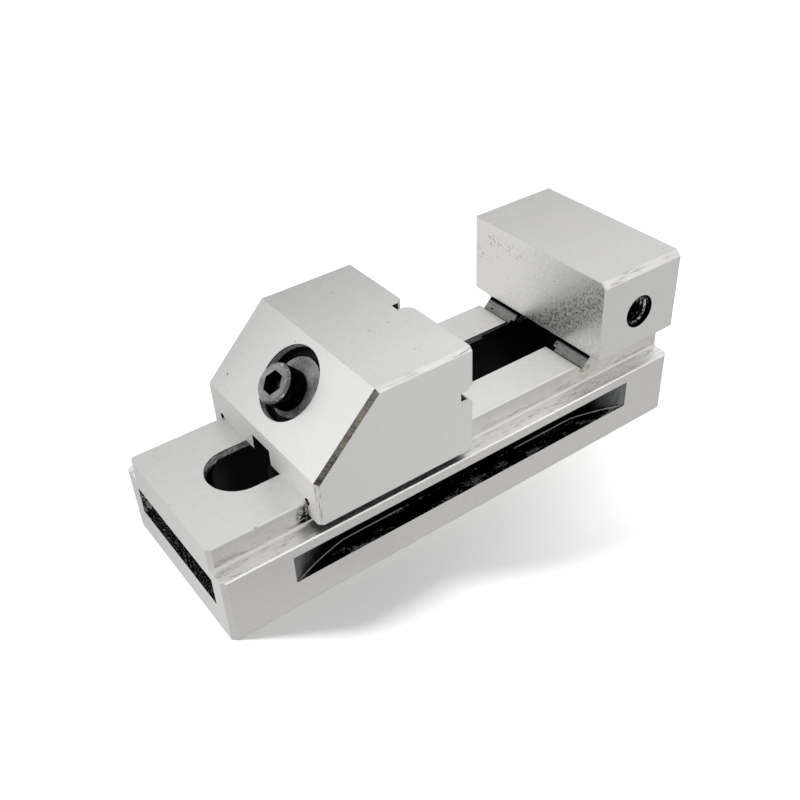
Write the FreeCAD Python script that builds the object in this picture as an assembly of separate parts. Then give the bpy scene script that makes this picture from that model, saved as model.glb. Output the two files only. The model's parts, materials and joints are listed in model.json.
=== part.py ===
import math
import os

import FreeCAD
import Part
from FreeCAD import Vector

# Precision vise with a pull-down jaw. Millimetres. The pieces are drawn with X along the vise from
# its rear end, Y zero in the middle plane and Z zero on the underside, and moved at the end so
# that X is zero in the middle of the vise's length. The jaw is drawn three notches from the rear,
# with the nut lowered clear of the notches.

# The block: base with two ledges, rail, and the fixed jaw that overhangs the rail on both sides.
# Both jaws have their bevels along the near side and only a broken edge along the far side.
body_length = 175.0
body_width = 63.0
ledge_height = 23.2
ledge_width = 6.2
rail_height = 31.2
overhang_gap = 3.6
jaw_height = 63.4
fixed_jaw_length = 34.5
fixed_jaw_chamfer = 2.0
end_edge_chamfer = 1.3
edge_break = 0.35
rail_foot_radius = 1.1
foot_relief_depth = 0.8

# Clamping grooves: long ones in both sides, short ones in both ends, cut with a disc.
groove_floor = 9.8
groove_width = 9.8
side_groove_start = 22.2
side_groove_end = 155.3
side_groove_depth = 8.0
side_cutter_radius = 90.0
end_groove_length = 48.6
end_cutter_radius = 44.6

# Slot in the rail, the pocket under it, and the wider pocket with the notches for the nut.
slot_width = 20.4
slot_rear_centre = 23.5
slot_front_centre = 144.0
lip_thickness = 2.3
thin_lip_thickness = 1.2
thin_lip_start = 125.8
pocket_width = 23.2
pocket_rear_end = 15.8
pocket_front_end = 154.0
nut_pocket_rear_end = 38.0
nut_pocket_front_end = 152.0
nut_pocket_height = 16.0
nut_pocket_corner_radius = 6.0
notch_radius = 7.0
notch_depth = 1.8
notch_spaces = 8
rest_notch = 3

# Tapped hole for a work stop in the near side of the fixed jaw.
stop_hole_from_end = 17.6
stop_hole_height = 47.2
stop_hole_diameter = 8.5
stop_hole_depth = 18.0
stop_hole_mouth = 11.6

# The moving jaw.
moving_jaw_length = 55.5
wedge_foot_height = 41.2
wedge_angle = 45.0
skirt_gap = 2.8
skirt_corner_chamfer = 2.4
moving_jaw_chamfer = 1.3
slide_clearance = 0.05
channel_relief_radius = 0.9
screw_channel_width = 10.0
screw_channel_height = 5.5
counterbore_diameter = 24.5
counterbore_depth = 5.0
counterbore_offset = 0.8
screw_hole_diameter = 12.8

# V grooves in the moving jaw's face, each with a square relief at its root.
upright_vee_width = 8.1
upright_vee_relief = 3.2
upright_vee_depth = 4.85
level_vee_width = 7.4
level_vee_relief = 3.0
level_vee_depth = 4.5
level_vee_height = 47.3

# Screw, ball washer and cross nut. Distances along the screw start at the wedge face.
screw_offset = -0.75
screw_diameter = 8.0
screw_past_nut = 2.1
screw_head_diameter = 13.0
screw_head_height = 8.0
screw_head_chamfer = 0.7
screw_tip_chamfer = 0.9
hex_across_flats = 6.0
hex_depth = 4.5
hex_drill_tip = 1.2
washer_diameter = 15.0
washer_bore = 8.8
washer_rim = 2.4
washer_ball_radius = 14.0
ball_clearance = 0.02
nut_diameter = 12.0
nut_length = 33.0
nut_thread_clearance = 0.05
nut_end_chamfer = 0.8
nut_side_clearance = 0.5
nut_drop = 1.8

# Values that follow from those above.
half_width = body_width / 2
half_rail = half_width - ledge_width
overhang_height = rail_height + overhang_gap
slot_roof = overhang_height
skirt_height = ledge_height + skirt_gap
jaw_face = body_length - fixed_jaw_length
travel = jaw_face - moving_jaw_length
notch_pitch = travel / notch_spaces
jaw_rear = rest_notch * notch_pitch
jaw_front = jaw_rear + moving_jaw_length
slope = math.tan(math.radians(wedge_angle))
wedge_run = (jaw_height - wedge_foot_height) / slope
wedge_length = math.hypot(wedge_run, jaw_height - wedge_foot_height)
up_wedge = Vector(math.cos(math.radians(wedge_angle)), 0, math.sin(math.radians(wedge_angle)))
down_screw = Vector(up_wedge.z, 0, -up_wedge.x)
wedge_middle = Vector(jaw_rear, 0, wedge_foot_height) + up_wedge * (wedge_length / 2)
counterbore_centre = wedge_middle + up_wedge * counterbore_offset
screw_entry = wedge_middle + up_wedge * screw_offset
washer_top = counterbore_depth - washer_rim
ball_centre_depth = counterbore_depth - math.sqrt(
    washer_ball_radius ** 2 - (washer_diameter / 2) ** 2)
seated_nut_height = nut_pocket_height + notch_depth - notch_radius
rest_nut_height = seated_nut_height - nut_drop
nut_pocket_width = nut_length + 2 * nut_side_clearance


def along_screw(depth):
    return screw_entry + down_screw * depth


def depth_at_height(height):
    return (screw_entry.z - height) / -down_screw.z


seated_nut = along_screw(depth_at_height(seated_nut_height))
rest_nut = along_screw(depth_at_height(rest_nut_height))
screw_tip_depth = depth_at_height(rest_nut_height) + screw_past_nut


def wire(points):
    return Part.makePolygon([Vector(*p) for p in points] + [Vector(*points[0])])


def prism(points, direction):
    return Part.Face(wire(points)).extrude(Vector(*direction))


def block(x0, x1, y0, y1, z0, z1):
    return Part.makeBox(x1 - x0, y1 - y0, z1 - z0, Vector(x0, y0, z0))


def rod(radius, start, end):
    return Part.makeCylinder(radius, (end - start).Length, start, end - start)


def cone(radius0, radius1, start, end):
    return Part.makeCone(radius0, radius1, (end - start).Length, start, end - start)


def round_ended(x_first, x_last, width, z0, z1):
    """Long hole with half-round ends; the two x values are the centres of the ends."""
    radius = width / 2
    body = block(x_first, x_last, -radius, radius, z0, z1)
    ends = [Part.makeCylinder(radius, z1 - z0, Vector(x, 0, z0)) for x in (x_first, x_last)]
    return body.fuse(ends)


def edges_where(shape, test):
    return [e for e in shape.Edges if test(e)]


def straight_along(edge, axis):
    if not isinstance(edge.Curve, Part.Line):
        return False
    span = edge.BoundBox
    lengths = {"x": span.XLength, "y": span.YLength, "z": span.ZLength}
    return lengths[axis] > 0.5 and sum(lengths.values()) - lengths[axis] < 1e-6


def at(value, target):
    return abs(value - target) < 1e-6


def base_and_rail():
    """Section of the ground block, drawn out over the whole length."""
    left = -half_width
    r = rail_foot_radius
    b = edge_break
    arc_mid = r * (1 - math.sqrt(0.5))
    points = [
        (0, left + b, 0), (0, -left - b, 0), (0, -left, b), (0, -left, ledge_height - b),
        (0, -left - b, ledge_height), (0, half_rail + r, ledge_height)]
    right_arc = Part.Arc(
        Vector(0, half_rail + r, ledge_height),
        Vector(0, half_rail + arc_mid, ledge_height + arc_mid),
        Vector(0, half_rail, ledge_height + r)).toShape()
    upper = [
        (0, half_rail, ledge_height + r), (0, half_rail, rail_height - b),
        (0, half_rail - b, rail_height), (0, -half_rail + b, rail_height),
        (0, -half_rail, rail_height - b), (0, -half_rail, ledge_height + r)]
    left_arc = Part.Arc(
        Vector(0, -half_rail, ledge_height + r),
        Vector(0, -half_rail - arc_mid, ledge_height + arc_mid),
        Vector(0, -half_rail - r, ledge_height)).toShape()
    lower = [
        (0, -half_rail - r, ledge_height), (0, left + b, ledge_height),
        (0, left, ledge_height - b), (0, left, b), (0, left + b, 0)]
    edges = []
    for run in (points, upper, lower):
        edges += [Part.makeLine(Vector(*p), Vector(*q)) for p, q in zip(run, run[1:])]
    edges += [right_arc, left_arc]
    outline = Part.Wire(Part.sortEdges(edges)[0])
    return Part.Face(outline).extrude(Vector(body_length, 0, 0))


def fixed_jaw():
    """Upper end of the block: a neck as wide as the rail, then the full-width jaw."""
    c = fixed_jaw_chamfer
    b = edge_break
    neck_foot = rail_height - b - 0.5
    profile = [
        (jaw_face, -half_rail, neck_foot), (jaw_face, half_rail, neck_foot),
        (jaw_face, half_rail, overhang_height), (jaw_face, half_width, overhang_height),
        (jaw_face, half_width, jaw_height - b), (jaw_face, half_width - b, jaw_height),
        (jaw_face, -half_width + c, jaw_height), (jaw_face, -half_width, jaw_height - c),
        (jaw_face, -half_width, overhang_height), (jaw_face, -half_rail, overhang_height)]
    jaw = prism(profile, (fixed_jaw_length, 0, 0))

    def round_an_end(edge):
        if edge.BoundBox.XLength > 1e-6:
            return False
        return edge.CenterOfMass.z > overhang_height + 1e-6

    return jaw.makeChamfer(b, edges_where(jaw, round_an_end))


def end_corner_cuts():
    """Bevels on the upright edges at both ends of the block."""
    c = end_edge_chamfer
    cuts = []
    for x, inward in ((0.0, 1), (body_length, -1)):
        for side in (-1, 1):
            for edge_y, z0, z1 in (
                    (half_width, -1, ledge_height),
                    (half_rail, ledge_height, rail_height + 1)):
                if inward < 0 and at(edge_y, half_rail):
                    continue
                y = side * edge_y
                over = 1.0
                corner = [
                    (x + inward * c, y + side * over, z0),
                    (x + inward * c, y, z0),
                    (x, y - side * c, z0),
                    (x - inward * over, y - side * c, z0),
                    (x - inward * over, y + side * over, z0)]
                cuts.append(prism(corner, (0, 0, z1 - z0)))
    return cuts


def foot_relief():
    """Slanting groove in the corner between the rail's top and the fixed jaw's face."""
    half = (overhang_height - rail_height) / math.sqrt(2)
    into = Vector(1, 0, -1).normalize()
    across = Vector(1, 0, 1).normalize()
    corner = Vector(jaw_face, -half_width, rail_height)
    reach = 2 * half
    a = corner + into * foot_relief_depth - across * half
    b = corner + into * foot_relief_depth + across * half
    c = b - into * (foot_relief_depth + reach)
    d = a - into * (foot_relief_depth + reach)
    face = Part.Face(Part.makePolygon([a, b, c, d, a]))
    return face.extrude(Vector(0, body_width, 0))


def side_grooves():
    """Long grooves; a disc that travels along the side leaves sloping ends."""
    run_out = math.sqrt(
        side_cutter_radius ** 2 - (side_cutter_radius - side_groove_depth) ** 2)
    reach = side_cutter_radius - side_groove_depth
    first = side_groove_start + run_out
    last = side_groove_end - run_out
    cuts = []
    for side in (-1, 1):
        y = side * (half_width + reach)
        discs = [Part.makeCylinder(side_cutter_radius, groove_width, Vector(x, y, groove_floor))
                 for x in (first, last)]
        inner = side * (half_width - side_groove_depth)
        between = block(
            first, last, min(inner, y), max(inner, y), groove_floor, groove_floor + groove_width)
        cuts += discs + [between]
    return cuts


def end_grooves():
    """Short grooves, plunged with a smaller disc into both ends."""
    reach = math.sqrt(end_cutter_radius ** 2 - (end_groove_length / 2) ** 2)
    places = (-reach, body_length + reach)
    return [Part.makeCylinder(end_cutter_radius, groove_width, Vector(x, 0, groove_floor))
            for x in places]


def slot_and_pockets():
    """The rail's slot, the pocket below it, and the nut's pocket with its row of notches."""
    radius = pocket_width / 2
    lip_under = rail_height - lip_thickness
    slot = round_ended(
        slot_rear_centre, slot_front_centre, slot_width, lip_under - 1, slot_roof)
    pocket = round_ended(
        pocket_rear_end + radius, pocket_front_end - radius, pocket_width, -1, lip_under)
    thin = block(
        thin_lip_start, pocket_front_end - radius, -radius, radius,
        lip_under - 1, rail_height - thin_lip_thickness)
    half = nut_pocket_width / 2
    wide = block(
        nut_pocket_rear_end, nut_pocket_front_end, -half, half, -1, nut_pocket_height)
    upright = edges_where(wide, lambda e: straight_along(e, "z"))
    wide = wide.makeFillet(nut_pocket_corner_radius, upright)
    notches = []
    for number in range(notch_spaces + 1):
        x = seated_nut.x + (number - rest_notch) * notch_pitch
        start = Vector(x, -half, seated_nut_height)
        notches.append(rod(notch_radius, start, start + Vector(0, nut_pocket_width, 0)))
    return [slot, pocket, thin, wide] + notches


def stop_hole():
    """Blind hole for a work-stop screw, with a bevelled mouth."""
    x = body_length - stop_hole_from_end
    mouth = Vector(x, -half_width, stop_hole_height)
    bottom = mouth + Vector(0, stop_hole_depth, 0)
    radius = stop_hole_diameter / 2
    bore = rod(radius, mouth - Vector(0, 1, 0), bottom)
    drill_tip = cone(radius, 0, bottom, bottom + Vector(0, radius * 0.6, 0))
    bevel = (stop_hole_mouth - stop_hole_diameter) / 2
    mouth_cone = cone(
        stop_hole_mouth / 2 + 1, radius, mouth - Vector(0, 1, 0), mouth + Vector(0, bevel, 0))
    return bore.fuse([drill_tip, mouth_cone])


def vise_body():
    body = base_and_rail().fuse(fixed_jaw()).removeSplitter()
    cuts = end_corner_cuts() + [foot_relief()] + side_grooves() + end_grooves()
    cuts += slot_and_pockets() + [stop_hole()]
    return body.cut(cuts).removeSplitter()


def vee_groove(width, relief, depth, centre, direction, across, inward):
    """Right-angled V with a square relief at its root, cut along one direction."""
    flank = (width - relief) / 2
    over = 1.0
    half = width / 2
    outline = [
        centre + across * (half + over) - inward * over,
        centre + across * (relief / 2) + inward * flank,
        centre + across * (relief / 2) + inward * depth,
        centre - across * (relief / 2) + inward * depth,
        centre - across * (relief / 2) + inward * flank,
        centre - across * (half + over) - inward * over]
    face = Part.Face(Part.makePolygon(outline + outline[:1]))
    return face.extrude(direction)


def moving_jaw():
    x0 = jaw_rear
    x1 = jaw_front
    side_view = [
        (x0, -half_width, skirt_height), (x0, -half_width, wedge_foot_height),
        (x0 + wedge_run, -half_width, jaw_height), (x1, -half_width, jaw_height),
        (x1, -half_width, skirt_height + skirt_corner_chamfer),
        (x1 - skirt_corner_chamfer, -half_width, skirt_height)]
    jaw = prism(side_view, (0, body_width, 0))

    def outer_long_edge(edge, side):
        if not at(edge.CenterOfMass.y, side * half_width):
            return False
        if edge.BoundBox.YLength > 1e-6:
            return False
        ends = [v.Point for v in edge.Vertexes]
        rear = all(at(p.x, x0) for p in ends)
        top = all(at(p.z, jaw_height) for p in ends)
        wedge = any(at(p.z, wedge_foot_height) for p in ends)
        wedge = wedge and any(at(p.z, jaw_height) for p in ends)
        return rear or top or wedge

    for side, bevel in ((-1, moving_jaw_chamfer), (1, edge_break)):
        jaw = jaw.makeChamfer(bevel, edges_where(jaw, lambda e: outer_long_edge(e, side)))

    def round_the_front(edge):
        on_front = at(edge.BoundBox.XMin, x1) and at(edge.BoundBox.XMax, x1)
        return on_front and edge.CenterOfMass.z > rail_height

    jaw = jaw.makeChamfer(edge_break, edges_where(jaw, round_the_front))
    half = half_rail + slide_clearance
    channel = block(x0 - 1, x1 + 1, -half, half, skirt_height - 1, rail_height)
    cuts = [channel]
    for side in (-1, 1):
        start = Vector(x0 - 1, side * half, rail_height)
        cuts.append(rod(channel_relief_radius, start, start + Vector(x1 - x0 + 2, 0, 0)))

    exit_x = along_screw(depth_at_height(rail_height)).x
    screw_channel = block(
        x0 - 1, exit_x, -screw_channel_width / 2, screw_channel_width / 2,
        rail_height - 1, rail_height + screw_channel_height)
    counterbore = rod(
        counterbore_diameter / 2, counterbore_centre - down_screw * 20,
        counterbore_centre + down_screw * counterbore_depth)
    hole = rod(
        screw_hole_diameter / 2, along_screw(0), along_screw(depth_at_height(rail_height - 10)))
    seat = Part.makeSphere(
        washer_ball_radius + ball_clearance, along_screw(ball_centre_depth))
    cuts += [screw_channel, counterbore, hole, seat]

    top = jaw_height + 1
    floor = skirt_height - 1
    cuts.append(vee_groove(
        upright_vee_width, upright_vee_relief, upright_vee_depth, Vector(x1, 0, floor),
        Vector(0, 0, top - floor), Vector(0, 1, 0), Vector(-1, 0, 0)))
    cuts.append(vee_groove(
        level_vee_width, level_vee_relief, level_vee_depth,
        Vector(x1, -half_width - 1, level_vee_height), Vector(0, body_width + 2, 0),
        Vector(0, 0, 1), Vector(-1, 0, 0)))
    return jaw.cut(cuts).removeSplitter()


def clamp_screw():
    under_head = along_screw(washer_top)
    head_top = along_screw(washer_top - screw_head_height)
    head = rod(screw_head_diameter / 2, head_top, under_head)
    rim = edges_where(head, lambda e: (e.CenterOfMass - head_top).Length < 1e-3)
    head = head.makeChamfer(screw_head_chamfer, rim)
    tip = along_screw(screw_tip_depth)
    radius = screw_diameter / 2
    shank = rod(radius, under_head, tip - down_screw * screw_tip_chamfer)
    point = cone(radius, radius - screw_tip_chamfer, tip - down_screw * screw_tip_chamfer, tip)
    corner = hex_across_flats / math.sqrt(3)
    side = Vector(0, 1, 0)
    corners = []
    for number in range(6):
        turn = math.radians(60 * number)
        corners.append(head_top - down_screw + side * (corner * math.cos(turn))
                       + up_wedge * (corner * math.sin(turn)))
    socket = Part.Face(Part.makePolygon(corners + corners[:1]))
    socket = socket.extrude(down_screw * (hex_depth + 1))
    drill = cone(
        hex_across_flats / 2, 0, head_top + down_screw * hex_depth,
        head_top + down_screw * (hex_depth + hex_drill_tip))
    return head.fuse([shank, point]).cut([socket, drill]).removeSplitter()


def ball_washer():
    disc = rod(washer_diameter / 2, along_screw(washer_top), along_screw(counterbore_depth + 5))
    ball = Part.makeSphere(washer_ball_radius, along_screw(ball_centre_depth))
    bore = rod(washer_bore / 2, along_screw(-5), along_screw(counterbore_depth + 6))
    washer = disc.common(ball).cut(bore)
    return washer.removeSplitter()


def cross_nut():
    half = Vector(0, nut_length / 2, 0)
    nut = rod(nut_diameter / 2, rest_nut - half, rest_nut + half)
    ends = edges_where(nut, lambda e: not isinstance(e.Curve, Part.Line))
    nut = nut.makeChamfer(nut_end_chamfer, ends)
    bore_radius = screw_diameter / 2 + nut_thread_clearance
    reach = down_screw * nut_diameter
    return nut.cut(rod(bore_radius, rest_nut - reach, rest_nut + reach))


pieces = {
    "vise_body": vise_body,
    "moving_jaw": moving_jaw,
    "clamp_screw": clamp_screw,
    "ball_washer": ball_washer,
    "cross_nut": cross_nut,
}

to_middle = Vector(-body_length / 2, 0, 0)
os.makedirs("parts", exist_ok=True)
for name, make in pieces.items():
    shape = make()
    shape.translate(to_middle)
    shape.exportStep("parts/" + name + ".step")
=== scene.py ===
import json
import math

import bmesh
import bpy
import numpy as np
from mathutils import Matrix, Vector

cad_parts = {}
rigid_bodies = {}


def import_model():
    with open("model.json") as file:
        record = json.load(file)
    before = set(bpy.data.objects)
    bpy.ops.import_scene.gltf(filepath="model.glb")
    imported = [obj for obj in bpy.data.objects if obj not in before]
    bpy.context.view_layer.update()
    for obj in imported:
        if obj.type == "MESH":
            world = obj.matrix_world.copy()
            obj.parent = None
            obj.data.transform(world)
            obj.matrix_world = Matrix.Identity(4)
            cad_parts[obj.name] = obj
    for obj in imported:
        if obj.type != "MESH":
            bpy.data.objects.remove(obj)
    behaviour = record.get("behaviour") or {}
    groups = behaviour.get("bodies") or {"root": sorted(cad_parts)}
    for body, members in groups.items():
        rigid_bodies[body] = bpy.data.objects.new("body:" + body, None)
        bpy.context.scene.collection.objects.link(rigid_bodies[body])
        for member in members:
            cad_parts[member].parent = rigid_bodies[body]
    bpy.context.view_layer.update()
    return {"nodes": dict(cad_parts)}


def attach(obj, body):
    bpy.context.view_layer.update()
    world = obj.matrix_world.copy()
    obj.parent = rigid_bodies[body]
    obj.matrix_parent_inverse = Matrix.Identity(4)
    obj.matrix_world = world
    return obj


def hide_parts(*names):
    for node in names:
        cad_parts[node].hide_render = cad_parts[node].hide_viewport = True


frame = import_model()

MM = 0.001

# The body. Base, rail and fixed jaw are one block of hardened alloy steel. It is milled, hardened
# and blackened, then ground on its outside, so the slot, pockets and clamping grooves stay black
# and every outer face is bright. Places are in mm from the rear end, the middle and the floor.
# A face counts as on a plane within ON_FACE mm of it, and as off it from JUST_OFF mm.
BODY_LENGTH = 175.0
REAR_END = -BODY_LENGTH / 2
HALF_WIDTH = 31.5
SIDE_GROOVE_HEIGHTS = (9.8, 19.6)
SIDE_GROOVE_ENDS = (22.2, 155.3)
SIDE_GROOVE_DEPTH = 8.0
SIDE_GROOVE_DEPTH_SEEN = 6.4
END_GROOVE_HALF_LENGTH = 24.5
END_GROOVE_DEPTH = 7.5
LEDGE_TOP = 23.2
RAIL_TOP = 31.2
HALF_RAIL = 25.3
HOLLOW_ENDS = (13.0, 154.5)
SLOT_HALF_WIDTH = 10.2
SLOT_ROOF = 34.8
LIP_THICKNESS = 2.3
POCKET_HALF_WIDTH = 17.0
JAW_FACE = 140.5
FOOT_RELIEF_REACH = 5.0
STOP_HOLE = (157.4, 47.2)
STOP_HOLE_TAP_RADIUS = 4.25
STOP_HOLE_THREAD_RADIUS = 5.0
STOP_HOLE_MOUTH_RADIUS = 5.8
STOP_HOLE_DEPTH = 18.0
ON_FACE = 0.05
JUST_OFF = 0.01


def colour(code):
    """Linear colour of an sRGB hex code: each part is raised by the sRGB curve."""
    parts = np.array([int(code[i:i + 2], 16) for i in (1, 3, 5)]) / 255.0
    linear = np.where(parts <= 0.04045, parts / 12.92, ((parts + 0.055) / 1.055) ** 2.4)
    return (*linear.tolist(), 1.0)


def add(tree, kind, inputs=(), out=0, **settings):
    """Adds one node and gives back one of its outputs.

    Its inputs come in the order of its sockets, or by name or number. Each is a plain value, a
    hex colour, or the output of another node. The settings are the node's own.
    """
    made = tree.nodes.new("ShaderNode" + kind)
    for name, value in settings.items():
        setattr(made, name, value)
    for socket, value in inputs.items() if isinstance(inputs, dict) else enumerate(inputs):
        if isinstance(value, bpy.types.NodeSocket):
            tree.links.new(value, made.inputs[socket])
        else:
            made.inputs[socket].default_value = colour(value) if isinstance(value, str) else value
    return made.outputs[out] if len(made.outputs) else made


def new_material(name):
    """An empty material, its node tree, and the Object coordinates that its patterns lie on."""
    material = bpy.data.materials.new(name)
    material.use_nodes = True
    tree = material.node_tree
    tree.nodes.clear()
    return material, tree, add(tree, "TexCoord", out="Object")


def mottle(tree, place, size, detail=2.0, roughness=0.5, shift=(0, 0, 0)):
    """A mottle whose marks are size mm wide: one number, or three along X, Y, Z for streaks."""
    sizes = np.broadcast_to(np.array(size, float), 3) * MM
    mapped = add(tree, "Mapping",
                 {"Vector": place, "Location": shift, "Scale": (1 / sizes).tolist()})
    return add(tree, "TexNoise",
               {"Vector": mapped, "Scale": 1.0, "Detail": detail, "Roughness": roughness})


def near(tree, place, middle, reach):
    """One at a place of the vise, falling to zero at a reach from it, both in mm."""
    size = np.array(reach, float) * MM
    middle = (np.array(middle) + [REAR_END, 0, 0]) * MM
    mapped = add(tree, "Mapping", {"Vector": place, "Location": (-middle / size).tolist(),
                                   "Scale": (1 / size).tolist()})
    return add(tree, "TexGradient", (mapped,), "Fac", gradient_type="SPHERICAL")


def flecks(tree, place, cell, radius, share):
    """Sparse flecks: spots of a cell pattern, its cells cell mm wide, in a share of its cells."""
    mapped = add(tree, "Mapping",
                 {"Vector": place, "Scale": (1 / (np.array(cell) * MM)).tolist()})
    away = add(tree, "TexVoronoi", {"Vector": mapped, "Scale": 1.0}, "Distance")
    spot = add(tree, "MapRange", (away, radius * 0.5, radius, 1.0, 0.0))
    some = add(tree, "MapRange", (away.node.outputs["Color"], 1 - share, 1 - share + 0.15))
    return add(tree, "Math", (spot, some), operation="MULTIPLY")


def layered(tree, base, *layers):
    """Lays colours over a base, one on another: each layer is the share it covers and its hex."""
    for share, tint in layers:
        base = add(tree, "Mix", {0: share, 6: base, 7: tint}, 2, data_type="RGBA")
    return base


EDGE_SOFTNESS = 0.22
# Near-white painted highlight, laid in dashes along softened edges.
EDGE_HIGHLIGHT = "#fbfbfa"


def finish(tree, base, roughness, heights, strength, depth, edge_colour=None,
           edge_dashes=(0.46, 0.60), metallic=1.0):
    """The shader, with its colour, its roughness and a bump depth mm deep on softened edges.

    An edge shows where the softened normal leaves the true one. There the edge colour, if one is
    given, comes through in dashes that follow the heights.
    """
    edge = add(tree, "Bevel", {"Radius": EDGE_SOFTNESS * MM}, samples=4)
    if edge_colour:
        true = add(tree, "NewGeometry", out="True Normal")
        bend = add(tree, "VectorMath", (edge, true), "Value", operation="DOT_PRODUCT")
        on_edge = add(tree, "MapRange", (bend, 0.90, 0.99, 1.0, 0.0))
        dashes = add(tree, "MapRange", (heights, *edge_dashes))
        # The edge colour in dashes along the edge: with the near-white colour this is a painted
        # highlight.
        edge_mark = add(tree, "Math", (on_edge, dashes), operation="MULTIPLY")
        base = layered(tree, base, (edge_mark, edge_colour))
    bump = add(tree, "Bump", {"Strength": strength, "Distance": depth * MM, "Height": heights,
                              "Normal": edge})
    shader = add(tree, "BsdfPrincipled", {"Base Color": base, "Metallic": metallic,
                                          "Roughness": roughness, "Normal": bump})
    add(tree, "OutputMaterial", {"Surface": shader})


FIXED_JAW_STAINS = (((140.5, 29.0, 51.0), (3, 4, 3)), ((140.5, 21.0, 57.0), (3, 6, 3)),
                    ((140.5, 12.0, 57.0), (3, 8, 3)))
MOTTLE_START = 13.0
MOTTLE_FULL = -2.0


def ground_steel(name, far, near_side, smooth, rough, sparkle=0.5, stained=False, metallic=1.0):
    """Hardened steel off a surface grinder, satin, with lines along the wheel's path in X.

    It is drawn a little darker towards the far side, as the light falls off that way. A stained
    face also has rust freckles, and a dull mottle on its near half.
    """
    material, tree, place = new_material(name)
    # Single lines would be 0.05 mm apart: they are drawn 0.5 mm apart so that they show.
    lines = mottle(tree, place, (45, 0.5, 0.5), 3.0, 0.6)
    grain = mottle(tree, place, 0.8, 3.0, 0.65)
    bands = mottle(tree, place, (160, 11, 11), 3.0, 0.6)
    clouds = mottle(tree, place, 26, 2.0)
    broad = add(tree, "Mix", {0: 0.5, 2: bands, 3: clouds}, data_type="FLOAT")
    fine = add(tree, "Mix", {0: 0.55, 2: lines, 3: grain}, data_type="FLOAT")
    tone = add(tree, "Mix", {0: 0.4, 2: broad, 3: fine}, data_type="FLOAT")
    across = add(tree, "SeparateXYZ", (place,), "Y")
    fall = add(tree, "MapRange", (across, -HALF_WIDTH * MM, HALF_WIDTH * MM, 0.75, -0.25))
    level = add(tree, "Math", (tone, 0.8, fall), operation="MULTIPLY_ADD", use_clamp=True)
    scratches = mottle(tree, place, (2.2, 0.5, 0.5), 4.0, 0.8, (2, 9, 4))
    layers = [(level, near_side),
              (add(tree, "MapRange", (scratches, 0.50, 0.80, 0.0, 0.20)), "#a9a8a4"),
              (add(tree, "MapRange", (scratches, 0.50, 0.20, 0.0, 0.25)), "#ffffff"),
              (flecks(tree, place, (4.5, 1.8, 1.8), 0.15, 0.3), "#a5a29b"),
              (flecks(tree, place, (17, 9, 9), 0.05, 0.3), "#6e6a62")]
    if stained:
        speckle = add(tree, "MapRange", (mottle(tree, place, 1.4, 2.0, 0.6, (3, 1, 7)), 0.50, 0.68))
        for middle, reach in FIXED_JAW_STAINS:
            rusty = (near(tree, place, middle, reach), speckle)
            layers.append((add(tree, "Math", rusty, operation="MULTIPLY"), "#b5a27a"))
        dull = mottle(tree, place, (1, 1.1, 1.1), 3.0, 0.7, (4, 4, 1))
        near_half = add(
            tree, "MapRange", (across, MOTTLE_FULL * MM, MOTTLE_START * MM, 1.0, 0.0))
        worn = (add(tree, "MapRange", (dull, 0.38, 0.64)), near_half)
        worn = add(tree, "Math", worn, operation="MULTIPLY")
        roughness = add(tree, "MapRange", (worn, 0.0, 1.0, smooth, rough))
        depth = 0.11
    else:
        roughness = add(tree, "MapRange", (grain, 0.3, 0.7, smooth, rough))
        depth = 0.06
    finish(tree, layered(tree, far, *layers), roughness, fine, sparkle, depth, EDGE_HIGHLIGHT,
           metallic=metallic)
    return material


def streaked_steel(name, streak, patch, light, dark):
    """Milled steel, not ground: brown-grey streaks along the cutter's path."""
    material, tree, place = new_material(name)
    streaks = mottle(tree, place, streak, 4.0, 0.65)
    patches = mottle(tree, place, patch, 2.0, 0.5, (5, 2, 0))
    both = (add(tree, "MapRange", (streaks, 0.47, 0.62)),
            add(tree, "MapRange", (patches, 0.38, 0.62)))
    base = layered(tree, light, (add(tree, "Math", both, operation="MULTIPLY"), dark))
    roughness = add(tree, "MapRange", (streaks, 0.3, 0.7, 0.36, 0.48))
    finish(tree, base, roughness, streaks, 0.5, 0.05, EDGE_HIGHLIGHT)
    return material


# A near-black painted shade on the rail's side at the moving jaw's rear corner, and a rust spot by
# the fixed jaw: places and reaches in mm.
JAW_CORNER_SHADE = ((30.6, -25.3, 26.5), (3.5, 2, 5))
RUST_SPOT = ((140.6, -25.3, 28.6), (3.2, 2, 1.6))


def rail_side_with_shade():
    """The rail's side, ground: a brown-grey mottle that darkens towards its foot, a near-black
    painted shade beside the moving jaw's rear corner, and a rust spot.
    """
    material, tree, place = new_material("rail_side_steel_with_painted_shade")
    foot_mottle = mottle(tree, place, (5, 2, 1.6), 4.0, 0.7)
    grain = mottle(tree, place, 0.7, 3.0, 0.65)
    height = add(tree, "SeparateXYZ", (place,), "Z")
    low = (add(tree, "MapRange", (foot_mottle, 0.42, 0.62)),
           add(tree, "MapRange", (height, 24.2 * MM, 26.5 * MM, 0.8, 0.12)))
    layers = [(add(tree, "Math", low, operation="MULTIPLY"), "#948d84")]
    for (middle, reach), tint in ((JAW_CORNER_SHADE, "#100f0e"), (RUST_SPOT, "#b3a68c")):
        spot = (add(tree, "MapRange", (near(tree, place, middle, reach), 0.05, 0.4)),
                add(tree, "MapRange", (mottle(tree, place, 1.3, 3.0, 0.7), 0.35, 0.50)))
        layers.append((add(tree, "Math", spot, operation="MULTIPLY"), tint))
    roughness = add(tree, "MapRange", (grain, 0.3, 0.7, 0.38, 0.48))
    finish(tree, layered(tree, "#d8d6d2", *layers), roughness, grain, 0.5, 0.05, EDGE_HIGHLIGHT)
    return material


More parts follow.
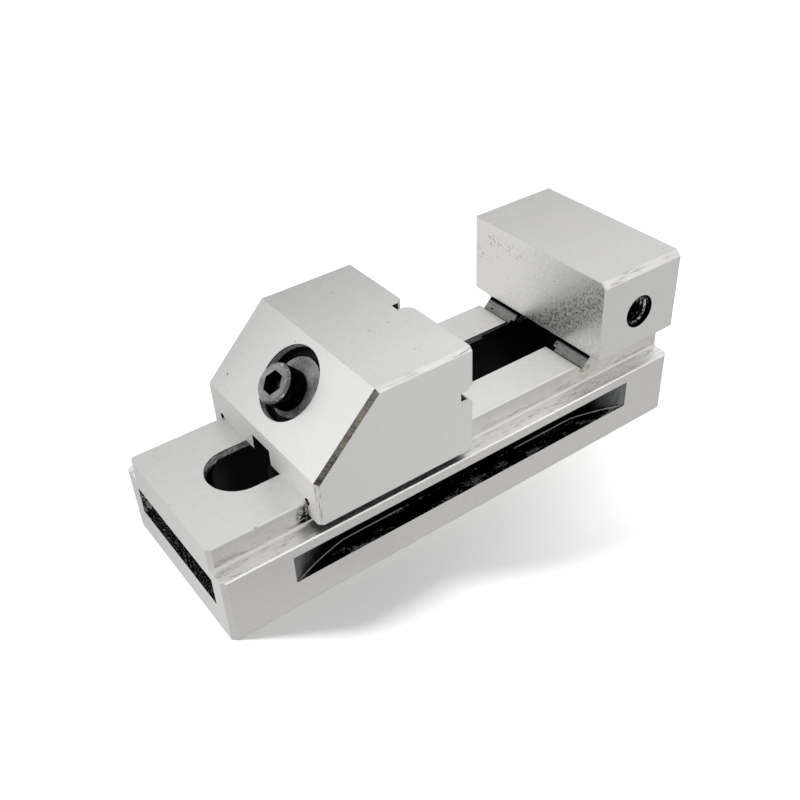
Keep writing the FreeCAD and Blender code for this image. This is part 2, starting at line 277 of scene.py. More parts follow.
def blackened_steel(name, dark, light, cell, start, end, roughness, metallic=1.0,
                    edge_colour=None):
    """Steel under black oxide: dark, with light where the film has worn or marks catch light."""
    material, tree, place = new_material(name)
    marks = mottle(tree, place, cell, 4.0, 0.7)
    wide = mottle(tree, place, np.array(cell) * 9.0, 2.0)
    both = add(tree, "Math", (marks, wide), operation="MULTIPLY")
    base = layered(tree, dark, (add(tree, "MapRange", (both, start, end)), light))
    rough = add(tree, "MapRange", (marks, 0.3, 0.7, roughness - 0.08, roughness + 0.08))
    finish(tree, base, rough, marks, 0.4, 0.06, edge_colour, (0.0, 0.1), metallic)
    return material


# Heights in mm over which the relief's floor fades to painted black shade, at its foot and at its
# head.
FOOT_RELIEF_FOOT = (29.3, 29.6)
FOOT_RELIEF_HEAD = (31.8, 32.2)


def foot_relief_steel():
    """Floor of the slanting relief: grey milled oxide, painted black along its foot and where it
    runs in under the jaw, a painted shade.
    """
    material, tree, place = new_material("blackened_foot_relief")
    marks = mottle(tree, place, (0.8, 3.0, 0.8), 4.0, 0.7)
    height = add(tree, "SeparateXYZ", (place,), "Z")
    ragged = add(tree, "Math", (marks, 0.8 * MM, height), operation="MULTIPLY_ADD")
    shaded_edges = (add(tree, "MapRange", (ragged, *(MM * np.array(FOOT_RELIEF_FOOT)).tolist(), 1.0, 0.0)),
            add(tree, "MapRange", (ragged, *(MM * np.array(FOOT_RELIEF_HEAD)).tolist())))
    base = layered(tree, "#6b6b6b", (add(tree, "MapRange", (marks, 0.3, 0.7)), "#a8a7a5"),
                   (flecks(tree, place, (1.6, 2.2, 1.6), 0.30, 0.4), "#1a1a1a"),
                   (add(tree, "Math", shaded_edges, operation="MAXIMUM"), "#050505"))
    roughness = add(tree, "MapRange", (marks, 0.3, 0.7, 0.4, 0.55))
    finish(tree, base, roughness, marks, 0.4, 0.05)
    return material


SLOT_BRIGHT_PATCH = ((25.4, 10.2, 30.2), (4.5, 3, 3))
SLOT_RIM = (RAIL_TOP - 0.40, RAIL_TOP - 0.25)


def slot_wall():
    """The slot's lip: grey mottled oxide, scratched bare in one place, black along its edge."""
    material, tree, place = new_material("blackened_slot_wall")
    marks = mottle(tree, place, (1.6, 1.6, 0.35), 4.0, 0.7)
    flakes = mottle(tree, place, (0.9, 0.9, 0.6), 3.0, 0.7, (1, 1, 5))
    bare = (add(tree, "MapRange", (near(tree, place, *SLOT_BRIGHT_PATCH), 0.15, 0.5)),
            add(tree, "MapRange", (flakes, 0.42, 0.52)))
    height = add(tree, "SeparateXYZ", (place,), "Z")
    rim = add(tree, "MapRange", (height, SLOT_RIM[0] * MM, SLOT_RIM[1] * MM))
    base = layered(tree, "#464646", (add(tree, "MapRange", (marks, 0.35, 0.65)), "#d0d0ce"),
                   (add(tree, "Math", bare, operation="MULTIPLY"), "#f4f4f2"), (rim, "#030303"))
    roughness = add(tree, "MapRange", (marks, 0.3, 0.7, 0.35, 0.5))
    finish(tree, base, roughness, marks, 0.4, 0.05)
    return material


END_MARK_PITCH = 1.1
END_MARK_MIDDLE = (-32.0, 6.0, 0.0)


def end_groove_floor():
    """Floor of an end groove: black, with broken bright arcs where the cutter's side rubbed."""
    material, tree, place = new_material("blackened_end_groove")
    marks = mottle(tree, place, 1.0, 3.0, 0.7)
    middle = (np.array(END_MARK_MIDDLE) + [REAR_END, 0, 0]) * MM
    centred = add(tree, "Mapping", {"Vector": place, "Location": (-middle).tolist()})
    arcs = add(tree, "TexWave",
               {"Vector": centred, "Scale": 0.31 / (END_MARK_PITCH * MM), "Distortion": 9.0,
                "Detail": 3.0, "Detail Scale": 2.5}, "Fac", wave_type="RINGS",
               rings_direction="Z")
    lit = (add(tree, "MapRange", (arcs, 0.45, 0.95)), add(tree, "MapRange", (marks, 0.36, 0.62)))
    base = layered(tree, "#101010", (add(tree, "Math", lit, operation="MULTIPLY"), "#b2b2b0"))
    roughness = add(tree, "MapRange", (marks, 0.3, 0.7, 0.4, 0.55))
    finish(tree, base, roughness, marks, 0.4, 0.05)
    return material


def groove_floor():
    """Floor of a long groove: black, with bare flakes that lie closer towards its outer edge."""
    material, tree, place = new_material("blackened_groove_floor")
    flakes = mottle(tree, place, (0.9, 0.45, 0.45), 4.0, 0.7)
    patches = mottle(tree, place, (7, 3, 3), 2.0)
    side = add(tree, "Math", (add(tree, "SeparateXYZ", (place,), "Y"),), operation="ABSOLUTE")
    outer = add(tree, "MapRange", (side, 27.6 * MM, 29.8 * MM, 0.01, 0.09))
    both = add(tree, "Math", (flakes, patches), operation="MULTIPLY")
    bare = add(tree, "MapRange", (add(tree, "Math", (both, outer), operation="ADD"), 0.37, 0.42))
    roughness = add(tree, "MapRange", (flakes, 0.3, 0.7, 0.4, 0.55))
    finish(tree, layered(tree, "#030303", (bare, "#c9c9c7")), roughness, flakes, 0.4, 0.06)
    return material


SIDE_GROOVE_HALF = (SIDE_GROOVE_ENDS[1] - SIDE_GROOVE_ENDS[0]) / 2
RUN_OUT_LIGHT = 13.0


def from_groove_middle(tree, place):
    """Distance along the vise from the middle of the long grooves."""
    middle = sum(SIDE_GROOVE_ENDS) / 2 + REAR_END
    centred = add(tree, "Mapping", {"Vector": place, "Location": (-middle * MM, 0, 0)})
    along = add(tree, "SeparateXYZ", (centred,), "X")
    return add(tree, "Math", (along,), operation="ABSOLUTE")


def groove_wall():
    """Back of a clamping groove: grey where the cutter ran out at its ends, black between."""
    material, tree, place = new_material("blackened_groove_run_out")
    away = from_groove_middle(tree, place)
    marks = mottle(tree, place, (1.2, 1.2, 5.0), 4.0, 0.7)
    lit = (add(tree, "MapRange",
               (away, (SIDE_GROOVE_HALF - RUN_OUT_LIGHT) * MM, SIDE_GROOVE_HALF * MM)),
           add(tree, "MapRange", (marks, 0.3, 0.75, 0.55, 1.1)))
    lit = add(tree, "Math", lit, operation="MULTIPLY")
    lit = add(tree, "Math", (lit, 1.4), operation="POWER")
    roughness = add(tree, "MapRange", (marks, 0.3, 0.7, 0.4, 0.55))
    finish(tree, layered(tree, "#040404", (lit, "#8d8f90")), roughness, marks, 0.4, 0.05)
    return material


# Ground faces are satin grey. The fixed jaw's front is smoother and mirrors what is round it. The
# ledge's lower bevel is painted white, a painted highlight along it. The rail top and the rear end
# are lighter copies, and the base's near side a darker copy, of the same steel: painted light and
# shade.
GROUND = ground_steel("ground_hardened_steel", "#cccbc8", "#e2e1de", 0.34, 0.44)
RAIL_TOP_STEEL = ground_steel("ground_rail_top_steel", "#dadad7", "#f1f1ef", 0.34, 0.44)
BASE_STEEL = ground_steel("ground_base_steel", "#cccbc7", "#dddbd6", 0.34, 0.44)
JAW_FACE_STEEL = ground_steel(
    "ground_steel_with_stains", "#f6f4ef", "#fdfcf9", 0.27, 0.55, 1.0, stained=True)
BRIGHT_BEVEL = ground_steel(
    "white_painted_highlight_bevel_steel", "#ffffff", "#ffffff", 0.30, 0.40, metallic=0.3)
# Milled faces show brown-grey streaks. What the grinder didn't reach is black or mottled grey.
LEDGE = streaked_steel("milled_ledge_steel", (3, 0.5, 0.5), (9, 2, 2), "#ffffff", "#c4c0ba")
LONG_BEVEL = streaked_steel(
    "ground_long_bevel_steel", (6, 0.5, 0.5), (14, 2, 2), "#e6e5e2", "#b2b0ab")
RAIL_SIDE = rail_side_with_shade()
POCKET = blackened_steel("blackened_pocket", "#010101", "#060606", 1.0, 0.25, 0.4, 0.6)
FOOT_RELIEF = foot_relief_steel()
SLOT_WALL = slot_wall()
END_GROOVE = end_groove_floor()
GROOVE = groove_floor()
GROOVE_WALL = groove_wall()
FINISHES = (GROUND, GROOVE, POCKET, FOOT_RELIEF, GROOVE_WALL, SLOT_WALL, LEDGE, RAIL_SIDE,
            JAW_FACE_STEEL, RAIL_TOP_STEEL, END_GROOVE, BASE_STEEL, LONG_BEVEL, BRIGHT_BEVEL)

WEDGE_BEVELS = [(-1, side * math.sqrt(2), 1) for side in (-1, 1)]
LARGEST_STRIP = 8.0
WELD = 0.002
FLAT_ANGLE = math.radians(0.1)
SHARP_ANGLE = math.radians(25)


def dressed(node, name, body, finishes, sort, reshape=None):
    """A merged copy of a solid whose faces are given finishes by where they lie.

    Flat triangles are joined into whole faces. A face is shaded flat where its normal is one of
    the block's plane directions and it is larger than a strip of a round wall.
    """
    mesh = bpy.data.meshes.new(name)
    work = bmesh.new()
    work.from_mesh(frame["nodes"][node].data)
    bmesh.ops.remove_doubles(work, verts=work.verts, dist=WELD * MM)
    bmesh.ops.dissolve_limit(work, angle_limit=FLAT_ANGLE, verts=work.verts, edges=work.edges)
    work.to_mesh(mesh)
    work.free()
    if "custom_normal" in mesh.attributes:
        mesh.attributes.remove(mesh.attributes["custom_normal"])
    if reshape:
        places = np.empty(len(mesh.vertices) * 3)
        mesh.vertices.foreach_get("co", places)
        places = places.reshape(-1, 3) / MM - [REAR_END, 0, 0]
        mesh.vertices.foreach_set("co", ((reshape(places) + [REAR_END, 0, 0]) * MM).ravel())
    for material in finishes:
        mesh.materials.append(material)
    count = len(mesh.polygons)
    centres, normals, areas = np.empty(count * 3), np.empty(count * 3), np.empty(count)
    mesh.polygons.foreach_get("center", centres)
    mesh.polygons.foreach_get("normal", normals)
    mesh.polygons.foreach_get("area", areas)
    centres = centres.reshape(-1, 3) / MM - [REAR_END, 0, 0]
    normals = normals.reshape(-1, 3)
    mesh.polygons.foreach_set("material_index", sort(centres, normals))
    directions = np.array([d for d in np.ndindex(3, 3, 3) if d != (1, 1, 1)]) - 1.0
    directions = np.vstack([directions, WEDGE_BEVELS])
    directions /= np.linalg.norm(directions, axis=1, keepdims=True)
    planar = (normals @ directions.T).max(axis=1) > math.cos(FLAT_ANGLE)
    planar &= areas > LARGEST_STRIP * MM ** 2
    mesh.polygons.foreach_set("use_smooth", ~planar)
    mesh.set_sharp_from_angle(angle=SHARP_ANGLE)
    piece = bpy.data.objects.new(name, mesh)
    bpy.context.scene.collection.objects.link(piece)
    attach(piece, body)
    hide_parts(node)
    return piece


def body_finishes(centre, normal):
    """The finish of each face of the block, by its place and the way that it faces."""
    x, y, z = centre.T
    side = np.abs(y)
    upright = np.abs(normal[:, 2]) < 0.1
    index = np.zeros(len(x), np.int32)
    low = z < LEDGE_TOP + 0.5
    # The base's near side takes a darker copy of the steel and its rear end a lighter one: painted
    # shade and light.
    index[low & (normal[:, 1] < -0.5)] = FINISHES.index(BASE_STEEL)
    index[low & (normal[:, 0] < -0.9)] = FINISHES.index(RAIL_TOP_STEEL)
    bevel = (normal[:, 1] < -0.6) & (normal[:, 2] > 0.6)
    index[bevel & (z > RAIL_TOP)] = FINISHES.index(LONG_BEVEL)
    # The ledge's lower bevel is painted white: a painted highlight.
    index[bevel & (z < LEDGE_TOP)] = FINISHES.index(BRIGHT_BEVEL)
    foot, head = SIDE_GROOVE_HEIGHTS
    inside = (z > foot - JUST_OFF) & (z < head + JUST_OFF) & (side < HALF_WIDTH - JUST_OFF)
    inside &= (x > JUST_OFF) & (x < BODY_LENGTH - JUST_OFF)
    long_groove = inside & (side > HALF_WIDTH - SIDE_GROOVE_DEPTH - 0.1)
    long_groove &= (x > SIDE_GROOVE_ENDS[0] - 1) & (x < SIDE_GROOVE_ENDS[1] + 1)
    end_groove = (x < END_GROOVE_DEPTH) | (x > BODY_LENGTH - END_GROOVE_DEPTH)
    end_groove &= inside & (side < END_GROOVE_HALF_LENGTH)
    index[long_groove] = FINISHES.index(GROOVE)
    index[end_groove] = FINISHES.index(END_GROOVE)
    index[long_groove & upright] = FINISHES.index(GROOVE_WALL)
    hollow = (side < POCKET_HALF_WIDTH + JUST_OFF) & (x > HOLLOW_ENDS[0]) & (x < HOLLOW_ENDS[1])
    hollow &= (z > JUST_OFF) & (z < SLOT_ROOF + JUST_OFF)
    hollow &= ~((normal[:, 2] > 0.9) & (z > RAIL_TOP - 0.02))
    index[hollow] = FINISHES.index(POCKET)
    lip = hollow & upright & (z > RAIL_TOP - LIP_THICKNESS) & (side < SLOT_HALF_WIDTH + ON_FACE)
    index[lip] = FINISHES.index(SLOT_WALL)
    slant = (np.abs(np.abs(normal[:, [0, 2]]) - math.sqrt(0.5)) < 0.05).all(axis=1)
    slant &= np.hypot(x - JAW_FACE, z - RAIL_TOP) < FOOT_RELIEF_REACH
    index[slant] = FINISHES.index(FOOT_RELIEF)
    index[(normal[:, 2] > 0.9) & (np.abs(z - LEDGE_TOP) < ON_FACE)] = FINISHES.index(LEDGE)
    rail_top = (normal[:, 2] > 0.99) & (np.abs(z - RAIL_TOP) < ON_FACE)
    index[rail_top] = FINISHES.index(RAIL_TOP_STEEL)
    rail_side = (np.abs(normal[:, 1]) > 0.99) & (np.abs(side - HALF_RAIL) < ON_FACE)
    index[rail_side] = FINISHES.index(RAIL_SIDE)
    jaw_face = (normal[:, 0] < -0.99) & (np.abs(x - JAW_FACE) < ON_FACE)
    index[jaw_face] = FINISHES.index(JAW_FACE_STEEL)
    hole = np.hypot(x - STOP_HOLE[0], z - STOP_HOLE[1]) < STOP_HOLE_MOUTH_RADIUS
    index[hole & (y > JUST_OFF - HALF_WIDTH) & (y < 0)] = FINISHES.index(POCKET)
    return index


def open_stop_hole(places):
    """Moves the drilled wall of the stop hole out to the root of its thread."""
    away = places[:, [0, 2]] - STOP_HOLE
    reach = np.hypot(*away.T)
    depth = places[:, 1] + HALF_WIDTH
    wall = np.abs(reach - STOP_HOLE_TAP_RADIUS) < 0.03
    wall &= (depth > 1) & (depth < STOP_HOLE_DEPTH + 0.1)
    moved = places.copy()
    opened = away * (STOP_HOLE_THREAD_RADIUS / np.maximum(reach, 1e-6))[:, None] + STOP_HOLE
    moved[np.ix_(wall, [0, 2])] = opened[wall]
    return moved


def fit_body(places):
    """The stop hole opened, and the long grooves' flat walls brought out to their seen depth."""
    moved = open_stop_hole(places)
    x, y, z = places.T
    wall = np.isclose(z[:, None], SIDE_GROOVE_HEIGHTS, atol=0.02).any(axis=1)
    wall &= (x > SIDE_GROOVE_ENDS[0]) & (x < SIDE_GROOVE_ENDS[1])
    wall &= np.abs(y) > HALF_WIDTH - SIDE_GROOVE_DEPTH - 0.1
    seen = np.maximum(np.abs(y), HALF_WIDTH - SIDE_GROOVE_DEPTH_SEEN)
    moved[wall, 1] = (np.sign(y) * seen)[wall]
    return moved


dressed("vise_body", "ground_body", "vise_body", FINISHES, body_finishes,
        fit_body)

# The stop hole's M10 thread, tapped after drilling: one ridge that winds down the open hole. Its
# section is given in shares of the pitch, and its foot lies a little inside the wall.
THREAD_PITCH = 1.5
THREAD_START = 0.8
THREAD_LENGTH = 15.6
THREAD_FADE_TURNS = 0.4
RIDGE_HALF_FOOT = 0.46
RIDGE_HALF_CREST = 0.13
RIDGE_BITE = 0.04
TURN_STEPS = 48


def surface(name, points, body, slot, *finishes, ring=False, finish_of_row=None):
    """A closed piece from a grid of points, in mm from the rear end: rows run along the form.

    Each cell of the grid is a quad. Columns join round; with ring the last row joins the first,
    and without it a fan to the middle of the row closes each end. Faces look outwards where the
    columns turn right-handed about the way that the rows run. finish_of_row numbers the finish
    of each row of cells.
    """
    rows, columns = points.shape[:2]
    corner = np.arange(rows * columns).reshape(rows, columns)
    if ring:
        corner = np.vstack([corner, corner[:1]])
    beside = np.roll(corner, -1, axis=1)
    cells = np.stack([corner[:-1], beside[:-1], beside[1:], corner[1:]], axis=-1).reshape(-1, 4)
    faces = cells.tolist()
    places = points.reshape(-1, 3)
    if not ring:
        places = np.vstack([places, points[[0, -1]].mean(axis=1)])
        middle = np.full(columns, rows * columns)
        faces += np.stack([middle, beside[0], corner[0]], axis=-1).tolist()
        faces += np.stack([corner[-1], beside[-1], middle + 1], axis=-1).tolist()
    mesh = bpy.data.meshes.new(name)
    mesh.from_pydata(((places + [REAR_END, 0, 0]) * MM).tolist(), [], faces)
    mesh.polygons.foreach_set("use_smooth", np.ones(len(faces), bool))
    mesh.set_sharp_from_angle(angle=math.radians(30))
    for material in finishes:
        mesh.materials.append(material)
    if finish_of_row is not None:
        index = np.zeros(len(faces), np.int32)
        index[:len(cells)] = np.repeat(finish_of_row, columns)
        mesh.polygons.foreach_set("material_index", index)
    piece = bpy.data.objects.new(name, mesh)
    bpy.context.scene.collection.objects.link(piece)
    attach(piece, body)
    return piece


def stop_thread():
    """Ridge of the thread: a trapezoid carried along a helix, faded out at both ends.

    At turn t the helix is at depth start + pitch * t and angle 2 pi t. The section's four
    corners are offsets along the hole and radii, from just inside the wall to the crest.
    """
    turns = THREAD_LENGTH / THREAD_PITCH
    t = np.linspace(0, turns, int(turns * TURN_STEPS) + 1)
    fade = np.clip(np.minimum(t, turns - t) / THREAD_FADE_TURNS, 0.02, 1.0)
    wall = STOP_HOLE_THREAD_RADIUS + RIDGE_BITE
    along = THREAD_PITCH * np.array(
        [-RIDGE_HALF_FOOT, -RIDGE_HALF_CREST, RIDGE_HALF_CREST, RIDGE_HALF_FOOT])
    rise = np.array([0.0, 1.0, 1.0, 0.0]) * (wall - STOP_HOLE_TAP_RADIUS)
    radius = wall - rise[None, :] * fade[:, None]
    depth = THREAD_START + THREAD_PITCH * t[:, None] + along[None, :] * fade[:, None]
    angle = -2 * np.pi * t[:, None]
    return np.stack([
        STOP_HOLE[0] + radius * np.cos(angle), depth - HALF_WIDTH,
        STOP_HOLE[1] - radius * np.sin(angle)], axis=-1)


# Near-black, with sparse near-white marks: painted glints on the thread's crests.
THREAD_STEEL = blackened_steel(
    "tapped_thread_steel", "#1a1a1a", "#f0f0ee", 0.9, 0.22, 0.34, 0.3)
surface("stop_hole_thread", stop_thread(), "vise_body", "ground_steel", THREAD_STEEL)

# The inner corner at the foot of each long groove. The disc cutter's worn edge left a small round
# there. Towards the cutter's run-out and in a few spots it is painted light grey, a painted
# highlight along the corner, and it is black oxide elsewhere.
CUTTER_RADIUS = 90.0
CORNER_ROUND = 0.26
CORNER_BITE = 0.02
CORNER_START = 1.2
CORNER_STEPS = 160
# Distances in mm from each end over which the painted highlight fades out.
GLINT_FROM_END = (25.0, 45.0)


def groove_corner(side):
    """A concave strip along the groove's foot: an arc of the cutter, a straight, another arc.

    With u the distance along the vise, the wall lies sqrt(R^2 - (u - end)^2) out from the line
    that the cutter's middle runs on, u - end being nought between the two arcs.
    """
    inner = CUTTER_RADIUS - SIDE_GROOVE_DEPTH
    run_out = math.sqrt(CUTTER_RADIUS ** 2 - inner ** 2)
    first, last = SIDE_GROOVE_ENDS
    u = np.linspace(first + CORNER_START, last - CORNER_START, CORNER_STEPS)
    beyond = np.minimum(u - first - run_out, 0) + np.maximum(u - last + run_out, 0)
    wall = HALF_WIDTH + inner - np.sqrt(CUTTER_RADIUS ** 2 - beyond ** 2)
    wall = np.maximum(wall, HALF_WIDTH - SIDE_GROOVE_DEPTH_SEEN)
    turn = np.linspace(0, np.pi / 2, 5)
    out = np.concatenate([[-CORNER_BITE], CORNER_ROUND * (1 - np.sin(turn))])
    rise = np.concatenate([[-CORNER_BITE], CORNER_ROUND * (1 - np.cos(turn))])
    if side > 0:
        out, rise = out[::-1], rise[::-1]
    y = side * (wall[:, None] + out[None, :])
    z = SIDE_GROOVE_HEIGHTS[0] + rise[None, :] + 0 * y
    return np.stack([u[:, None] + 0 * y, y, z], axis=-1)


def corner_glint_steel():
    """Light grey towards the groove's ends and in a few spots, a painted highlight; black oxide
    elsewhere.
    """
    material, tree, place = new_material("groove_corner_with_painted_glint")
    away = from_groove_middle(tree, place)
    least, most = GLINT_FROM_END
    outer = add(tree, "MapRange",
                (away, (SIDE_GROOVE_HALF - most) * MM, (SIDE_GROOVE_HALF - least) * MM))
    marks = mottle(tree, place, (1.5, 0.8, 0.8), 3.0, 0.7)
    bare = add(tree, "MapRange", (add(tree, "Math", (outer, marks), operation="ADD"), 0.56, 0.72))
    roughness = add(tree, "MapRange", (marks, 0.3, 0.7, 0.35, 0.5))
    finish(tree, layered(tree, "#060606", (bare, "#bdbcb9")), roughness, marks, 0.3, 0.04)
    return material


CORNER_GLINT = corner_glint_steel()
for side, place_name in ((-1, "near"), (1, "far")):
    surface("groove_corner_" + place_name, groove_corner(side), "vise_body", "ground_steel",
            CORNER_GLINT)

# The moving jaw, of the same steel and finish. Its screw hole and the reliefs at the roots of the
# two V grooves stay black, and so does the bevel along the sloping back. Its counterbore is grey
# oxide, painted black in its lower part as a painted shadow.
JAW_REAR = 31.875
JAW_FRONT = 87.375
COUNTERBORE_MIDDLE = np.array([43.8235, 0.0, 53.1485])
COUNTERBORE_RADIUS = 12.0
COUNTERBORE_DEPTH = 5.0
COUNTERBORE_REACH = 14.6
COUNTERBORE_RIM = (0.25, 0.45)
# Depths in mm over which the counterbore turns to painted black shadow.
COUNTERBORE_SHADOW_DEPTHS = (2.0, 2.5)
SKIRT_FOOT = 26.0
SKIRT_CORNER_IN_SOLID = 2.4
SKIRT_CORNER = 0.8
CHANNEL_CORNER = np.array([25.35, 31.2])
RELIEF_RADIUS_IN_SOLID = 0.9
RELIEF_RADIUS = 1.2
VEE_ROOT_DEPTHS = (2.0, 4.9)
VEE_ROOT_HALVES = (1.7, 1.6)
LEVEL_VEE_HEIGHT = 47.3
SCREW_SLOT_HALF_WIDTH = 5.0
SCREW_SLOT_HEIGHT = 5.6
DOWN_SCREW = np.array([1.0, 0.0, -1.0]) / math.sqrt(2)


def from_counterbore(places):
    """Depth below the wedge's face, and the way out from the counterbore's axis."""
    offset = places - COUNTERBORE_MIDDLE
    depth = offset @ DOWN_SCREW
    return depth, offset - np.outer(depth, DOWN_SCREW)


def fit_jaw(places):
    """The jaw's small forms as they are seen: counterbore, skirt corners and channel reliefs.

    Every point of the counterbore's wall goes to one radius about its middle, so the ball seat
    starts below its floor. A skirt corner's two edges move towards the corner. A relief's points
    go out from the channel's corner.
    """
    moved = places.copy()
    depth, outward = from_counterbore(places)
    radial = np.linalg.norm(outward, axis=1)
    wall = (depth > -0.02) & (depth < COUNTERBORE_DEPTH + 0.02)
    wall &= (radial > COUNTERBORE_RADIUS - 0.3) & (radial < COUNTERBORE_REACH)
    fitted = COUNTERBORE_MIDDLE + np.outer(depth, DOWN_SCREW)
    fitted += outward * (COUNTERBORE_RADIUS / np.maximum(radial, 1e-6))[:, None]
    moved[wall] = fitted[wall]
    x, y, z = places.T
    head = np.abs(x - JAW_FRONT) < ON_FACE
    head &= np.abs(z - SKIRT_FOOT - SKIRT_CORNER_IN_SOLID) < ON_FACE
    moved[head, 2] = SKIRT_FOOT + SKIRT_CORNER
    foot = np.abs(x - JAW_FRONT + SKIRT_CORNER_IN_SOLID) < ON_FACE
    foot &= np.abs(z - SKIRT_FOOT) < ON_FACE
    moved[foot, 0] = JAW_FRONT - SKIRT_CORNER
    section = np.stack([np.abs(y), z], axis=1) - CHANNEL_CORNER
    relief = np.abs(np.hypot(*section.T) - RELIEF_RADIUS_IN_SOLID) < ON_FACE
    section *= RELIEF_RADIUS / RELIEF_RADIUS_IN_SOLID
    moved[relief, 1] = (np.sign(y) * (CHANNEL_CORNER[0] + section[:, 0]))[relief]
    moved[relief, 2] = (CHANNEL_CORNER[1] + section[:, 1])[relief]
    return moved


def counterbore_steel():
    """Grey oxide with a mottle of its own, black along the rim, and painted black from 2 mm deep
    down: a painted shadow on the lower wall and floor.
    """
    material, tree, place = new_material("blackened_counterbore")
    marks = mottle(tree, place, 0.7, 4.0, 0.7)
    down = add(tree, "VectorMath", (place, (DOWN_SCREW / MM).tolist()), "Value",
               operation="DOT_PRODUCT")
    face = float((COUNTERBORE_MIDDLE + [REAR_END, 0, 0]) @ DOWN_SCREW)
    start, end = COUNTERBORE_RIM
    rim = add(tree, "MapRange", (down, face + start, face + end, 1.0, 0.0))
    start, end = COUNTERBORE_SHADOW_DEPTHS
    low = add(tree, "MapRange", (down, face + start, face + end))
    base = layered(tree, "#727272", (add(tree, "MapRange", (marks, 0.3, 0.7)), "#cfcfce"),
                   (rim, "#040404"), (low, "#030303"))
    roughness = add(tree, "MapRange", (marks, 0.3, 0.7, 0.45, 0.6))
    finish(tree, base, roughness, marks, 0.6, 0.08, metallic=0.2)
    return material


# The jaw's ground faces are satin. Its rear face is duller and paler, with a streaked bevel, and
# the vees' roots and the wedge's bevels are dark from the oxide bath.
JAW_STEEL = ground_steel("ground_moving_jaw_steel", "#c6c6c4", "#ececea", 0.34, 0.44)
REAR_FACE = ground_steel(
    "ground_rear_face_steel", "#c6c5c2", "#e4e3df", 0.62, 0.72, metallic=0.45)
REAR_BEVEL = streaked_steel(
    "streaked_rear_bevel_steel", (0.6, 0.6, 8), (2, 2, 20), "#f2f0ec", "#7d7263")
COUNTERBORE = counterbore_steel()
GROOVE_ROOT = blackened_steel(
    "blackened_vee_root", "#0c0c0c", "#3e3d3b", 0.7, 0.18, 0.34, 0.5)
WEDGE_BEVEL = blackened_steel(
    "blackened_wedge_bevel", "#453f3b", "#938c84", (0.5, 2.2, 0.5), 0.16, 0.34, 0.45,
    edge_colour="#0c0a09")
JAW_FINISHES = (JAW_STEEL, COUNTERBORE, POCKET, GROOVE_ROOT, WEDGE_BEVEL, REAR_BEVEL, REAR_FACE,
                LONG_BEVEL)


def jaw_finishes(centre, normal):
    """The finish of each face of the jaw, by its place and the way that it faces."""
    x, y, z = centre.T
    index = np.zeros(len(x), np.int32)
    depth, outward = from_counterbore(centre)
    bored = (depth > JUST_OFF) & (np.linalg.norm(outward, axis=1) < COUNTERBORE_RADIUS + ON_FACE)
    bored &= (x >= JAW_REAR + JUST_OFF) & (z >= RAIL_TOP + JUST_OFF)
    index[bored] = JAW_FINISHES.index(COUNTERBORE)
    index[bored & (depth > COUNTERBORE_DEPTH + 0.3)] = JAW_FINISHES.index(POCKET)
    slope_bevel = np.abs(np.abs(normal[:, 1]) - 0.707) < 0.15
    slope_bevel &= (normal[:, 0] < -0.3) & (normal[:, 2] > 0.3)
    index[slope_bevel] = JAW_FINISHES.index(WEDGE_BEVEL)
    long_bevel = (normal[:, 1] < -0.6) & (normal[:, 2] > 0.6)
    index[long_bevel] = JAW_FINISHES.index(LONG_BEVEL)
    rear_bevel = (np.abs(normal[:, 2]) < 0.05) & (normal[:, 0] < -0.6) & (normal[:, 1] < -0.6)
    index[rear_bevel] = JAW_FINISHES.index(REAR_BEVEL)
    rear_face = (normal[:, 0] < -0.99) & (np.abs(x - JAW_REAR) < ON_FACE)
    index[rear_face] = JAW_FINISHES.index(REAR_FACE)
    relief = np.hypot(np.abs(y) - CHANNEL_CORNER[0], z - CHANNEL_CORNER[1]) < RELIEF_RADIUS + 0.1
    index[relief & (np.abs(normal[:, 0]) < 0.5)] = JAW_FINISHES.index(POCKET)
    # The skirt's foot takes the black pocket finish: a painted shade for the dark gap over the
    # ledge.
    skirt_foot = (normal[:, 2] < -0.9) & (np.abs(z - SKIRT_FOOT) < ON_FACE)
    index[skirt_foot] = JAW_FINISHES.index(POCKET)
    shallow, deep = VEE_ROOT_DEPTHS
    root = (np.abs(y) < VEE_ROOT_HALVES[0]) | (np.abs(z - LEVEL_VEE_HEIGHT) < VEE_ROOT_HALVES[1])
    root &= (x > JAW_FRONT - deep) & (x < JAW_FRONT - shallow)
    square = np.abs(normal).sum(axis=1) < 1.05
    index[root & square] = JAW_FINISHES.index(GROOVE_ROOT)
    channel = (z < RAIL_TOP + SCREW_SLOT_HEIGHT) & (z > RAIL_TOP - 0.1)
    channel &= np.abs(y) < SCREW_SLOT_HALF_WIDTH + JUST_OFF
    channel &= (x > JAW_REAR + JUST_OFF) & (normal[:, 2] < 0.1)
    index[channel] = JAW_FINISHES.index(POCKET)
    return index


dressed("moving_jaw", "ground_moving_jaw", "moving_jaw", JAW_FINISHES,
        jaw_finishes, fit_jaw)

# The clamping screw: an M8 x 60 socket-head cap screw. Its head is forged and its rim rolled with a
# straight knurl, its thread is rolled, and all of it is blackened in an oxide bath. The top of the
# head is painted lighter, partly handling wear and partly a painted highlight; its rim carries
# painted glints and its socket's floor painted light. Depths are below the wedge's face, along the
# screw.
SCREW_ENTRY = np.array([42.4447, 0.0, 51.7697])
UP_WEDGE = np.array([1.0, 0.0, 1.0]) / math.sqrt(2)
ACROSS = np.array([0.0, 1.0, 0.0])
HEAD_TOP = -5.4
HEAD_FOOT = 2.6
HEAD_RADIUS = 6.5
HEAD_CHAMFER = 0.7
KNURL_TEETH = 60
KNURL_DEPTH = 0.22
HEX_ACROSS_FLATS = 6.0
HEX_DEPTH = 4.5
HEX_DRILL_TIP = 1.2
HEX_MOUTH = 1.12
HEX_MOUTH_DEPTH = 0.55
SHANK_RADIUS = 4.0
SCREW_TIP = 62.586
TIP_CHAMFER = 0.9
